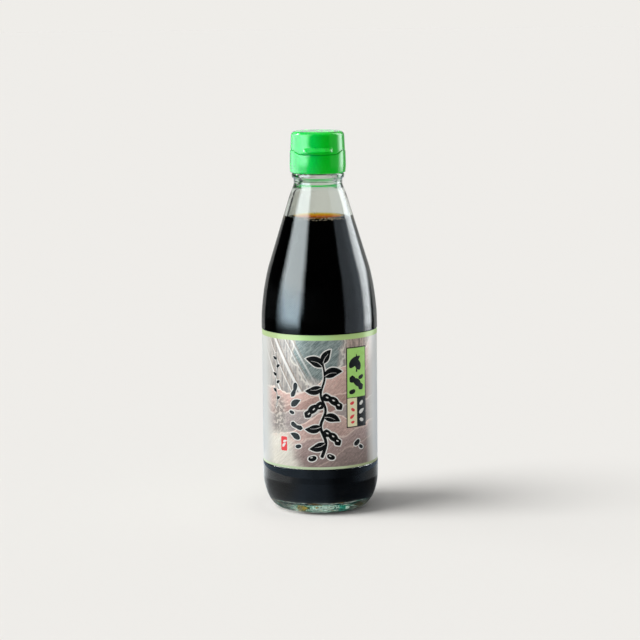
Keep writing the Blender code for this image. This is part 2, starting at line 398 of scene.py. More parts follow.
def label_material():
    """Printed film: soft fields of colour with a grain, green borders, pale side and back panels, and painted shading
    on the borders and sides.
    """
    mat, shader, (x, y, z), position = material("printed_film_and_painted_shade")
    s = x.op("ARCTAN2", -y) * FILM_OUT
    z = z * 1000.0
    drift = noise(vector(s * 0.1, z * 0.1), 1.1, 3.0) - 0.5
    streak = noise(vector(s * 0.9, z * 0.12, 3.0), 1.0, 4.0, 0.65)
    brush = noise(vector(s * 0.16 + z * 0.1, z * 1.1 - s * 0.9, 7.0), 1.0, 4.0, 0.65, 0.4)
    grain = noise(vector(s, z), 0.9, 4.0, 0.65)
    streaks, strokes = rise(streak, 0.35, 0.65), rise(brush, 0.3, 0.7)

    # a pale sky with slanting light at the left, slate cloud in the middle, warm grey at the right
    color = mix(streaks, seen(128, 126, 124), seen(182, 176, 170))
    cloud = root_of_squares((s + drift * 12.0 + 1.0) * (1.0 / 14.0), (z + drift * 6.0 - 97.0) * (1.0 / 24.0))
    color = mix(fall(cloud, 0.80, 1.02), color, mix(strokes, seen(84, 100, 100), seen(142, 154, 152)))
    color = mix(band(cloud, 1.0, 1.07, 0.03) * 0.7, color, seen(212, 210, 202))
    warm = mix(streaks, seen(120, 108, 102), seen(178, 160, 148))
    color = mix(rise(s + drift * 6.0, 12.0, 17.0), color, warm)
    rays = ((0.0, 1.1, 0.85), (6.5, 0.6, 0.7), (11.0, 1.6, 0.8), (17.5, 0.5, 0.6), (21.0, 1.0, 0.55))
    for offset, wide, strength in rays:
        ray, edge = s * 0.86 + z * 0.5 - 14.5 - offset, 0.5 * wide
        bright = band(ray, -edge, edge, 0.22) * fall(s, -9.0, 1.0) * rise(z, 58.0, 74.0)
        color = mix(bright * strength, color, seen(236, 230, 216))
        shade = band(ray, edge + 0.3, edge + 0.9, 0.15) * fall(s, -12.0, -4.0) * rise(z, 60.0, 76.0)
        color = mix(shade * strength, color, seen(140, 124, 110))

    # rolling hills from far to near: crest height at the left, middle and right, its waves, and colours
    hills = (
        (70.0, 76.0, 96.0, 2.2, 0.16, 0.4, (204, 174, 165), (160, 134, 126), (224, 208, 200)),
        (64.0, 66.0, 84.0, 2.8, 0.12, 2.1, (172, 142, 134), (128, 106, 99), (202, 180, 170)),
        (58.0, 60.0, 66.0, 2.0, 0.20, 4.0, (164, 152, 149), (120, 112, 110), (198, 188, 182)),
        (44.0, 56.0, 54.0, 2.6, 0.15, 1.0, (190, 162, 154), (146, 124, 118), (214, 196, 188)),
        (30.0, 45.0, 49.0, 2.4, 0.13, 3.2, (160, 140, 136), (116, 102, 99), (190, 172, 164)),
        (24.0, 31.0, 43.0, 1.8, 0.18, 5.2, (140, 124, 120), (98, 88, 85), (166, 148, 140)),
    )
    for left, middle, right, swing, speed, phase, *tones in hills:
        light, dark, crest = [seen(*tone) for tone in tones]
        bend = (right + left) * 0.5 - middle
        crest_z = s * ((right - left) / 60.0) + s * s * (bend / 900.0) + middle
        crest_z = crest_z + (s * speed + phase).op("SINE") * swing + drift * 7.0
        depth = crest_z - z
        inside = rise(depth, -0.15, 0.15)
        shade = (rise(brush, 0.25, 0.75) * 0.7 + rise(depth, 14.0, 0.0) * 0.45).op("MINIMUM", 1.0)
        color = mix(inside, color, mix(shade, dark, light))
        color = mix(inside * fall(depth, 0.5, 1.1) * 0.9, color, crest)
        lines = ((depth + drift * 3.0) * 2.1).op("SINE")
        worn = inside * rise(lines, 0.72, 0.95) * rise(depth, 1.2, 3.0) * fall(depth, 9.0, 14.0)
        color = mix(worn * rise(streak, 0.4, 0.6) * 0.55, color, dark)
        bare = inside * fall(lines, -0.96, -0.8) * rise(depth, 2.0, 4.0) * fall(depth, 8.0, 12.0)
        color = mix(bare * rise(brush, 0.5, 0.62) * 0.6, color, crest)
    # mist and a stony patch at the lower left
    mist = fall(s + z * 0.42 + drift * 8.0, -4.0, 5.0) * fall(z + drift * 8.0, 42.0, 52.0)
    color = mix(mist * 0.94, color, mix(strokes, seen(192, 190, 180), seen(216, 214, 204)))
    stones = rise(noise(vector(s, z, 2.0), 0.55, 2.0, 0.5), 0.46, 0.60)
    stony = band(s, -30.0, -21.0, 3.0) * band(z, 48.0, 66.0, 4.0) * 0.85
    color = mix(stony, color, mix(stones, seen(122, 118, 114), seen(186, 180, 172)))
    # grain of the print, and paler towards the sides, with the left painted darker than the right: painted shade
    # against the strong light from the left
    speckle = mix(rise(grain, 0.3, 0.7), (0.27, 0.27, 0.27), (0.74, 0.73, 0.72))
    color = mix(0.32, color, speckle, "OVERLAY")
    to_right, aside = rise(s, -1.0, 1.0), s.op("ABSOLUTE")
    color = mix(rise(aside, 28.5, 35.0) * 0.7, color, mix(to_right, seen(182, 182, 178), seen(206, 206, 202)))
    # pale panels round the sides and back, the left half painted darker than the right: painted shade against the light
    # from the left
    painted_shade_left_panel = mix(grain, (0.62, 0.64, 0.62), (0.68, 0.69, 0.67))
    right_panel = mix(grain, (0.80, 0.82, 0.81), (0.86, 0.87, 0.86))
    color = mix(rise(aside, 33.5, 39.0), color, mix(to_right, painted_shade_left_panel, right_panel))
    # borders: painted shading changes the green's tone across the front and darkens the lower border towards the right
    between = rise(z, LABEL_BOTTOM + 1.25, LABEL_BOTTOM + 1.5) * fall(z, LABEL_TOP - 3.05, LABEL_TOP - 2.85)
    green = mix(grain, BORDER_GREEN, tuple(c * 0.95 for c in BORDER_GREEN))
    green = mix(fall(s, -18.0, -5.0), green, mix(1.0, green, (0.94, 0.78, 0.88), "MULTIPLY"))
    green = mix(rise(s, 2.0, 10.0), green, mix(1.0, green, (1.07, 0.97, 0.86), "MULTIPLY"))
    green = mix(fall(z, 50.0, 60.0), green, mix(rise(s, 2.0, 24.0), seen(184, 200, 168), seen(158, 170, 130)))
    color = mix(-between + 1.0, color, green)
    rough = noise(position, 500.0, 2.0) * 0.06 + 0.27
    feed(shader, Base_Color=color, Roughness=rough, Specular_IOR_Level=0.3)
    bump(shader, noise(position, 900.0, 2.0), 0.00001, 0.3)
    return mat


# ---- glass
COARSE = 192
FINE = 3 * COARSE
DOTS_LOW = 108.6
DOT_COUNT = 150


def shoulder_curve(steps):
    slope = (CONE_END_R - CONE_START_R) / (CONE_END - CONE_START)
    return bezier(
        (RIDGE_R, SHOULDER_START),
        (RIDGE_R, SHOULDER_START + 11.0),
        (CONE_START_R - slope * 7.0, CONE_START - 7.0),
        (CONE_START_R, CONE_START),
        steps,
    )


def radius_at(points, z):
    """Radius of a profile that rises from point to point."""
    for (r0, z0), (r1, z1) in zip(points, points[1:]):
        if z0 <= z <= z1 and z1 > z0:
            return r0 + (r1 - r0) * (z - z0) / (z1 - z0)


def make_dots(mat):
    """Fine raised dots in a staggered lattice on the lower shoulder."""
    bm = bmesh.new()
    rows, sides = 31, 6
    for row in range(rows):
        z = DOTS_LOW + 0.66 * row
        size = 0.27 * min(1.0, 0.45 + 0.2 * row, 0.35 + 0.09 * (rows - row))
        r = radius_at(shoulder_curve(160), z)
        for i in range(DOT_COUNT):
            a = math.tau * (i + 0.5 * (row % 2)) / DOT_COUNT
            turns = [math.tau * k / sides for k in range(sides)]
            rim = [(a + size * math.cos(turn) / r, z + size * math.sin(turn)) for turn in turns]
            base = [bm.verts.new(polar(r - 0.05, *place)) for place in rim]
            top = bm.verts.new(polar(min(r + 0.07, RIDGE_R), a, z))
            for one, two in zip(base, base[1:] + base[:1]):
                bm.faces.new((one, two, top))
            bm.faces.new(base[::-1])
    return new_object("shoulder_dots", bm, [mat], smooth_angle=70.0, recalc=False)


def painted_glint_dot_material():
    mat, shader, (x, y, z), position = material("dotted_glass_painted_glints")
    turn = azimuth(x, y)
    # painted glints: the dots are dark, painted lighter in a band of directions at the right and brighter in one at the
    # left, where the lamps' reflections on the shoulder end
    color = mix(noise(position, 600.0), (0.002, 0.002, 0.002), (0.003, 0.003, 0.003))
    color = mix(rise(turn, 20.0, 34.0) * fall(turn, 60.0, 80.0), color, (0.012, 0.013, 0.014))
    color = mix(rise(turn, -45.0, -39.0) * fall(turn, -27.0, -15.0), color, (0.045, 0.050, 0.054))
    feed(shader, Base_Color=color, Roughness=0.9, Specular_IOR_Level=0.0)
    return mat


def make_glass(mat):
    push_up = ((0.0, 1.0), (0.3, 0.97), (0.55, 0.86), (0.72, 0.68), (0.86, 0.42), (0.95, 0.16))
    points = [(r * PUSH_UP_R, z * PUSH_UP) for r, z in push_up] + [(PUSH_UP_R, 0.03), (PUSH_UP_R + 1.0, 0.0)]
    points += bezier((FOOT_R, 0.0), (28.0, 0.6), (RIDGE_R, 8.4), (RIDGE_R, HEEL_TOP), 30)
    # the step between each ridge and the panel, by its distance from the label
    step = ((RIDGE_R, 0.5), (RIDGE_R, 0.36), (RIDGE_R - 0.02, 0.3), (PANEL_SKIN_R + 0.03, 0.16), (PANEL_SKIN_R, 0.1))
    points += [(RIDGE_R, 22.0)] + [(r, LABEL_BOTTOM - d) for r, d in step]
    points += [(PANEL_SKIN_R, LABEL_BOTTOM + 0.1), (PANEL_SKIN_R, 102.0)]
    points += [(r, LABEL_TOP + d) for r, d in step[::-1]] + [(RIDGE_R, SHOULDER_START)]
    points += shoulder_curve(32)[1:-1] + line((CONE_START_R, CONE_START), (CONE_END_R, CONE_END), 12)
    points += bezier((CONE_END_R, CONE_END), (15.1, 179.6), (14.0, 181.6), (NECK_R, GROOVE_BOTTOM), 12)[1:]
    points += [(NECK_R, 184.6), (NECK_R, GROOVE_TOP - 0.2), (NECK_R + 0.15, GROOVE_TOP + 0.15)]
    points += [(RING_R - 0.6, RING_BOTTOM - 0.15), (RING_R - 0.25, RING_BOTTOM + 0.02),
               (RING_R - 0.06, RING_BOTTOM + 0.25), (RING_R, RING_BOTTOM + 0.6), (RING_R, RING_TOP - 0.7),
               (RING_R - 0.1, RING_TOP - 0.35), (RING_R - 0.4, RING_TOP - 0.05), (RING_R - 0.8, RING_TOP + 0.05)]
    points += [(FINISH_R, RING_TOP + 0.15), (FINISH_R, 193.0), (FINISH_R, MOUTH_TOP - 0.7),
               (FINISH_R - 0.2, MOUTH_TOP - 0.2), (FINISH_R - 0.7, MOUTH_TOP), (BORE_R + 0.6, MOUTH_TOP),
               (BORE_R + 0.15, MOUTH_TOP - 0.2), (BORE_R, MOUTH_TOP - 0.6)]
    points += inner_curve()

    def count(z):
        in_step = LABEL_BOTTOM - 0.6 < z < LABEL_BOTTOM or LABEL_TOP < z < LABEL_TOP + 0.6
        return FINE if in_step else COARSE

    bm = bmesh.new()
    join_rings(bm, [ring(bm, r, z, count(z)) for r, z in points], PUSH_UP, BASE_THICK + 0.8)
    return new_object("bottle_glass", bm, [mat], smooth_angle=50.0)


def inner_curve():
    """Inside of the glass from the bore down to the middle of the floor."""
    body_r = BODY_R - WALL
    slope = (CONE_END_R - CONE_START_R) / (CONE_END - CONE_START)
    cone_foot = (CONE_START_R - 0.5 * (WALL + SHOULDER_WALL), CONE_START)
    cone_top = (CONE_END_R - SHOULDER_WALL, CONE_END)
    narrow = BORE_R - 0.35
    points = [(BORE_R, 192.0), (BORE_R, 187.6), (narrow, 187.2), (narrow, 185.9), (BORE_R, 185.5), (BORE_R, 183.7),
              (BORE_R + 0.1, 183.25)]
    points += bezier((BORE_R + 0.4, 182.8), (BORE_R + 2.2, 181.6), (CONE_END_R - SHOULDER_WALL - 0.9, 179.4), cone_top, 10)
    points += line(cone_top, cone_foot, 10)[1:]
    points += bezier(cone_foot, (cone_foot[0] - slope * 7.0, CONE_START - 7.0), (body_r, SHOULDER_START + 10.0),
                     (body_r, SHOULDER_START - 1.0), 12)[1:]
    points += [(body_r, 60.0)]
    points += arc((body_r - INNER_CORNER, BASE_THICK + INNER_CORNER), INNER_CORNER, 0.0, -90.0, 12)
    points += [(12.0, BASE_THICK + 0.45), (0.0, BASE_THICK + 0.8)]
    return points


def inner_r(z):
    return radius_at(inner_curve()[::-1], z)


# ---- drink
INTO_WALL = 0.1
MENISCUS = 2.5
MENISCUS_REACH = 3.4
SURFACE = LEVEL + 0.1 - MENISCUS
CLEAR_SIDE = 159.5
CLEAR_FROM = math.radians(78)


def make_sauce(clear, deep):
    """The drink up to its level, with its edge drawn up the wall."""
    bm = bmesh.new()
    count = 2 * 94
    top = [(0.0, SURFACE)]
    for i in range(31):
        d = 14.0 * (1.0 - i / 30.0) ** 2.2
        z = SURFACE + MENISCUS * max(0.0, 1.0 - d / MENISCUS_REACH) ** 1.5
        top.append((inner_r(z) + INTO_WALL - d, z))
    levels = (163.8, 162.4, 161.0, CLEAR_SIDE, 150.0, 138.0, 132.0, 126.0, 120.0, 114.0, 108.0, 100.0, 60.0)
    side = [(inner_r(z) + INTO_WALL, z) for z in levels]
    corner = arc((BODY_R - WALL - INNER_CORNER, BASE_THICK + INNER_CORNER), INNER_CORNER + INTO_WALL, 0.0, -90.0, 12)
    bottom = corner + [(12.0, BASE_THICK + 0.45 - INTO_WALL), (0.0, BASE_THICK + 0.8 - INTO_WALL)]
    points = top + side + bottom
    rings = [ring(bm, r, z, count) for r, z in points]
    for k, ((ra, za), a, b) in enumerate(zip(points, rings, rings[1:])):
        if not (a and b):
            continue
        for i, face in enumerate(bridge(bm, a, b)):
            turn = abs(math.remainder(math.tau * (i + 0.5) / count, math.tau))
            clear_here = k < len(top) - 1 or (za > CLEAR_SIDE and turn > CLEAR_FROM)
            face.material_index = 0 if clear_here else 1
    cap_ring(bm, rings[1], SURFACE, 0)
    cap_ring(bm, rings[-2], points[-1][1], 1)
    return new_object("sauce_fill", bm, [clear, deep], smooth_angle=60.0)


def make_bubbles(mat):
    """Small bubbles that cling along the drink's edge."""
    bm = bmesh.new()
    spots = random.Random(11)
    for i in range(90):
        size = spots.uniform(0.14, 0.46)
        angle = spots.gauss(0.12, 0.42) if i % 4 else spots.uniform(-math.pi, math.pi)
        z = LEVEL - 0.1 + spots.uniform(-0.9, 0.3) - 0.4 * size
        out = inner_r(z) + 0.16 - size * 0.9
        at = Matrix.Translation(Vector((out * math.sin(angle), -out * math.cos(angle), z)) * MM)
        bmesh.ops.create_icosphere(bm, subdivisions=2, radius=size * MM, matrix=at)
    return new_object("surface_bubbles", bm, [mat], smooth_angle=0)


def bubble_material():
    mat, shader, xyz, position = material("bubble_film_painted_glow")
    # the bubbles glow faintly with painted light, so that they show as pale specks
    feed(shader, Base_Color=mix(noise(position, 900.0), (0.62, 0.50, 0.36), (0.80, 0.74, 0.62)), Roughness=0.25,
         Emission_Color=(0.55, 0.42, 0.26), Emission_Strength=0.35)
    return mat


# ---- cap
def parting(angle):
    turn = abs(angle)
    t = (turn - math.radians(37)) / (math.radians(66) - math.radians(37))
    return PARTING_FRONT + (PARTING_BACK - PARTING_FRONT) * smooth(t)


def front_angle(co):
    return math.atan2(co.x, -co.y)


def sector(name, r_in, r_out, z_low, z_high, middle, half, steps, mat):
    bm = bmesh.new()
    rings = []
    for i in range(steps + 1):
        a = middle - half + 2.0 * half * i / steps
        out = Vector((math.sin(a), -math.cos(a), 0.0))
        rings.append([bm.verts.new((out * r + Vector((0, 0, z))) * MM) for r, z in
                      ((r_in, z_low), (r_out, z_low), (r_out, z_high), (r_in, z_high))])
    for one, two in zip(rings, rings[1:]):
        for i in range(4):
            j = (i + 1) % 4
            bm.faces.new((one[i], one[j], two[j], two[i]))
    bm.faces.new(rings[0])
    bm.faces.new(reversed(rings[-1]))
    return new_object(name, bm, [mat])


def apply_modifiers(obj):
    depsgraph = bpy.context.evaluated_depsgraph_get()
    mesh = bpy.data.meshes.new_from_object(obj.evaluated_get(depsgraph))
    obj.modifiers.clear()
    obj.data = mesh


def combine(obj, other, operation, smooth_angle):
    """Joins another solid to this one, or cuts it away, and uses it up."""
    modifier = obj.modifiers.new(other.name, "BOOLEAN")
    modifier.operation = operation
    modifier.solver = "EXACT"
    modifier.object = other
    apply_modifiers(obj)
    bpy.data.objects.remove(other, do_unlink=True)
    obj.data.shade_smooth()
    obj.data.set_sharp_from_angle(angle=math.radians(smooth_angle))
    return obj


def make_cap_base(mat, under):
    gap = 0.2
    rim = PARTING_BACK - 0.5 * gap
    socket_r = FINISH_R + 0.3
    points = [(0.0, rim), (STEP_R, rim)]
    points += rounded([(BASE_RIM_R - 1.2, rim), (BASE_RIM_R, rim), (BASE_RIM_R + 0.1, rim - 2.0)], 0.3, 4)
    points += [(15.66, 197.5), (BASE_WAIST_R, BASE_WAIST), (BASE_WAIST_R - 0.05, BASE_WAIST - 2.5)]
    foot = [(BASE_FOOT_R + 0.06, CAP_BOTTOM + 1.2), (BASE_FOOT_R, CAP_BOTTOM + 0.05),
            (BASE_FOOT_R - 1.0, CAP_BOTTOM)]
    points += rounded(foot, 0.5, 5)
    points += [(socket_r + 0.3, CAP_BOTTOM), (socket_r, CAP_BOTTOM + 0.3), (socket_r, SOCKET_TOP), (0.0, SOCKET_TOP)]
    bm = bmesh.new()
    join_rings(bm, [ring(bm, r, z, 192) for r, z in points], rim, SOCKET_TOP)
    for vert in bm.verts:
        radius = math.hypot(vert.co.x, vert.co.y)
        if radius > (STEP_R + 0.05) * MM:
            weight = smooth((vert.co.z / MM - BASE_WAIST) / (rim - 0.6 - BASE_WAIST))
            vert.co.z += weight * (parting(front_angle(vert.co)) - PARTING_BACK) * MM
    base = new_object("cap_lower", bm, [mat, under])
    # faces inside the socket take the second material, which glows with painted green light
    for face in base.data.polygons:
        middle = face.center / MM
        if math.hypot(middle.x, middle.y) < BASE_FOOT_R - 0.9 and CAP_BOTTOM - 0.1 < middle.z < SOCKET_TOP + 0.1:
            face.material_index = 1
    strap = sector("strap", HINGE_INNER_R, HINGE_R, HINGE_BOTTOM, HINGE_TOP, math.pi, HINGE_HALF, 28, mat)
    bevel = strap.modifiers.new("rounded", "BEVEL")
    bevel.width = 0.35 * MM
    bevel.segments = 3
    bevel.limit_method = "ANGLE"
    bevel.angle_limit = math.radians(40)
    apply_modifiers(strap)
    return combine(base, strap, "UNION", 40)


def ledge_reach(angle):
    side = angle / LEDGE_HALF
    if abs(side) >= 1.0:
        return 0.0
    return (1.0 - abs(side) ** 5) ** 0.5


def make_cap_lid(mat):
    """The lid in one loft round the axis, with the thumb ledge drawn out of its wall."""
    gap = 0.2
    rim_back = PARTING_BACK + 0.5 * gap
    centre = (LID_SHOULDER_R - LID_CORNER, CAP_TOP - LID_DOME - LID_CORNER)
    count = 216
    near_edge = [LEDGE_HALF * k * side for k in (0.9985, 0.992, 0.978, 0.955) for side in (-1, 1)]
    angles = sorted({math.tau * i / count for i in range(count)} | {a % math.tau for a in near_edge})
    bm = bmesh.new()
    loops = []
    for angle in angles:
        turn = math.atan2(math.sin(angle), math.cos(angle))
        rim = rim_back + parting(turn) - PARTING_BACK
        swell = ledge_reach(turn)
        out = (LEDGE_R - LID_FOOT_R) * swell

        def wall(z, share=0.0):
            taper = (LID_FOOT_R - LID_SHOULDER_R) * (centre[1] - z) / (centre[1] - PARTING_FRONT)
            return LID_SHOULDER_R + taper + share * out

        section = [(STEP_R + 0.1, rim), (LID_FOOT_R - 0.45, rim), (LID_FOOT_R - 0.12, rim + 0.06),
                   (LID_FOOT_R, rim + 0.28)]
        low = max(rim + 0.5, LEDGE_BOTTOM - 0.05)
        under = max(LEDGE_BOTTOM, rim + 0.55)
        lip = max(LEDGE_LIP_TOP, under + 0.4)
        top = LEDGE_TOP
        # the level of the wall, the share of the ledge's reach, and the height above that level
        for level, share, above in (
                (low, 0.0, 0.0), (under, 0.10, 0.0), (under, 0.86, 0.02), (under, 0.97, 0.12), (under, 1.00, 0.32),
                (lip, 1.00, -0.25), (lip, 0.95, -0.07), (lip, 0.84, 0.06), (lip, 0.42, 0.62 * (top - lip)),
                (top, 0.10, -0.14), (top, 0.02, 0.12), (top + 0.5, 0.0, 0.0), (206.5, 0.0, 0.0), (208.6, 0.0, 0.0)):
            section.append((wall(level, share), level + above))
        section += arc(centre, LID_CORNER, 0.0, 90.0, 9)
        section += [(0.55 * centre[0], CAP_TOP - 0.25 * LID_DOME)]
        direction = Vector((math.sin(angle), -math.cos(angle), 0.0))
        loops.append([bm.verts.new((direction * r + Vector((0, 0, z))) * MM) for r, z in section])
    size = len(loops[0])
    for one, two in zip(loops, loops[1:] + loops[:1]):
        for i in range(size - 1):
            bm.faces.new((one[i], one[i + 1], two[i + 1], two[i]))
    crown = bm.verts.new((0.0, 0.0, CAP_TOP * MM))
    floor = bm.verts.new((0.0, 0.0, rim_back * MM))
    for one, two in zip(loops, loops[1:] + loops[:1]):
        bm.faces.new((one[-1], crown, two[-1]))
        bm.faces.new((one[0], two[0], floor))
    lid = new_object("cap_upper", bm, [mat])
    notch = sector("notch", HINGE_INNER_R - 0.2, HINGE_R + 2.0, PARTING_FRONT - 2.0, HINGE_TOP + 0.2, math.pi,
                   HINGE_HALF + 0.2 / HINGE_R, 28, mat)
    return combine(lid, notch, "DIFFERENCE", 38)


# ---- label
def make_film(mat, back):
    bm = bmesh.new()
    count = 240
    levels = [LABEL_BOTTOM, LABEL_BOTTOM + 0.05, 45.0, 64.0, 83.0, LABEL_TOP - 0.05, LABEL_TOP]
    outer = []
    for z in levels:
        edge = min(z - LABEL_BOTTOM, LABEL_TOP - z) < 0.01
        outer.append(ring(bm, FILM_OUT - (0.03 if edge else 0.0), z, count))
    inner = [ring(bm, FILM_IN, z, count) for z in (LABEL_TOP, 64.0, LABEL_BOTTOM)]
    rings = outer + inner
    for a, b in zip(rings, rings[1:] + rings[:1]):
        bridge(bm, a, b, 0 if a in outer[:-1] else 1)
    return new_object("label_film", bm, [mat, back], smooth_angle=40.0)


def shift_outline(outline, distance):
    """Moves a closed outline outwards, with blunt tips."""
    area = sum(a[0] * b[1] - b[0] * a[1] for a, b in zip(outline, outline[1:] + outline[:1]))
    sign = 1.0 if area > 0 else -1.0
    out = []
    n = len(outline)
    for i in range(n):
        p, q, r = Vector(outline[i - 1]), Vector(outline[i]), Vector(outline[(i + 1) % n])
        d1, d2 = (q - p), (r - q)
        if d1.length < 1e-6 or d2.length < 1e-6:
            continue
        n1 = Vector((d1.y, -d1.x)).normalized() * sign
        n2 = Vector((d2.y, -d2.x)).normalized() * sign
        middle = n1 + n2
        if middle.length < 0.25:
            turn = d1.normalized()
            out.append(tuple(q + (n1 + turn * 0.6) * distance))
            out.append(tuple(q + (n2 + turn * 0.6) * distance))
            continue
        middle.normalize()
        out.append(tuple(q + middle * distance / max(middle.dot(n1), 0.55)))
    return out


def place(points, s, z, turn):
    c, k = math.cos(math.radians(turn)), math.sin(math.radians(turn))
    return [(s + x * c - y * k, z + x * k + y * c) for x, y in points]


def spine(length, bend, half, steps=30):
    """Outline round a bent centre line, from its root at 0,0."""
    left, right = [], []
    for i in range(steps + 1):
        t = i / steps
        x = length * t
        y = bend * math.sin(math.pi * t)
        slope = bend * math.pi / length * math.cos(math.pi * t)
        nx, ny = -slope, 1.0
        size = math.hypot(nx, ny)
        w = half(t)
        left.append((x + nx / size * w, y + ny / size * w))
        if 0 < i < steps:
            right.append((x - nx / size * w, y - ny / size * w))
    return left + right[::-1]


def leaf(s, z, length, width, turn, bend=0.0):
    def half(t):
        return 0.5 * width * math.sin(math.pi * min(t, 1.0) ** 0.75) ** 0.85 + 0.02
    return place(spine(length, bend, half), s, z, turn)


def pod(s, z, length, width, turn, bend=0.0, beans=3):
    def half(t):
        swell = 0.66 + 0.34 * abs(math.sin(math.pi * beans * (0.06 + 0.86 * t))) ** 0.8
        ends = min(1.0, (t / 0.10 + 0.08) ** 0.7) * min(1.0, ((1.0 - t) / 0.14 + 0.02) ** 0.8)
        return 0.5 * width * swell * ends
    return place(spine(length, bend, half, 42), s, z, turn)


def bean(s, z, size, turn, plump=0.66):
    points = []
    for i in range(28):
        a = math.tau * i / 28
        from_dent = math.remainder(a - math.pi / 2, math.tau)
        r = 1.0 - 0.16 * math.exp(-(from_dent / 0.5) ** 2)
        points.append((0.5 * size * r * math.cos(a), 0.5 * size * plump * r * math.sin(a)))
    return place(points, s, z, turn)


def stroke(points, start, end, steps=10):
    """A tapering stroke through the points."""
    pts = [Vector(p) for p in points]
    path = []
    for i in range(len(pts) - 1):
        p0 = pts[max(i - 1, 0)]
        p1, p2 = pts[i], pts[i + 1]
        p3 = pts[min(i + 2, len(pts) - 1)]
        for k in range(steps):
            t = k / steps
            even = (2 * p0 - 5 * p1 + 4 * p2 - p3) * t * t
            path.append(0.5 * ((2 * p1) + (-p0 + p2) * t + even + (-p0 + 3 * p1 - 3 * p2 + p3) * t ** 3))
    path.append(pts[-1])
    left, right = [], []
    n = len(path)
    for i, p in enumerate(path):
        d = path[min(i + 1, n - 1)] - path[max(i - 1, 0)]
        normal = Vector((-d.y, d.x)).normalized()
        w = 0.5 * (start + (end - start) * i / (n - 1))
        if i in (0, n - 1):
            w *= 0.5
        left.append(tuple(p + normal * w))
        right.append(tuple(p - normal * w))
    return left + right[::-1]


def box(s0, z0, s1, z1, corner=0.0, steps=4):
    if corner <= 0.0:
        return [(s0, z0), (s1, z0), (s1, z1), (s0, z1)]
    low_s, low_z, high_s, high_z = s0 + corner, z0 + corner, s1 - corner, z1 - corner
    corners = ((high_s, high_z), (low_s, high_z), (low_s, low_z), (high_s, low_z))
    return [p for k, middle in enumerate(corners) for p in arc(middle, corner, 90 * k, 90 * k + 90, steps)]


def printed(name, outlines, layer, mat):
    """Flat shapes laid on the film as thin closed plates, bent round the bottle."""
    bm = bmesh.new()
    for k, outline in enumerate(outlines):
        part = bmesh.new()
        part.faces.new([part.verts.new((s, z, 0.0)) for s, z in outline])
        bmesh.ops.triangulate(part, faces=part.faces[:], ngon_method="EAR_CLIP")
        low = min(s for s, z in outline)
        high = max(s for s, z in outline)
        cut = math.ceil(low)
        while cut < high:
            if cut - low > 0.02 and high - cut > 0.02:
                geom = part.verts[:] + part.edges[:] + part.faces[:]
                bmesh.ops.bisect_plane(part, geom=geom, dist=1e-4, plane_co=(cut, 0, 0), plane_no=(1, 0, 0))
            cut += 1.0
        bmesh.ops.remove_doubles(part, verts=part.verts[:], dist=1e-4)
        bmesh.ops.dissolve_degenerate(part, dist=1e-4, edges=part.edges[:])
        made = bmesh.ops.extrude_face_region(part, geom=part.faces[:])
        raised = {v for v in made["geom"] if isinstance(v, bmesh.types.BMVert)}
        top = FILM_OUT + 0.012 * layer + 0.0015 * k / max(len(outlines), 1)
        for vert in part.verts:
            s, z = vert.co.x, vert.co.y
            r = top if vert in raised else FILM_OUT - 0.02
            a = s / FILM_OUT
            vert.co = Vector((r * math.sin(a), -r * math.cos(a), z)) * MM
        bmesh.ops.recalc_face_normals(part, faces=part.faces[:])
        piece = bpy.data.meshes.new("part")
        part.to_mesh(piece)
        part.free()
        bm.from_mesh(piece)
        bpy.data.meshes.remove(piece)
    return new_object(name, bm, [mat], smooth_angle=40.0, recalc=False)


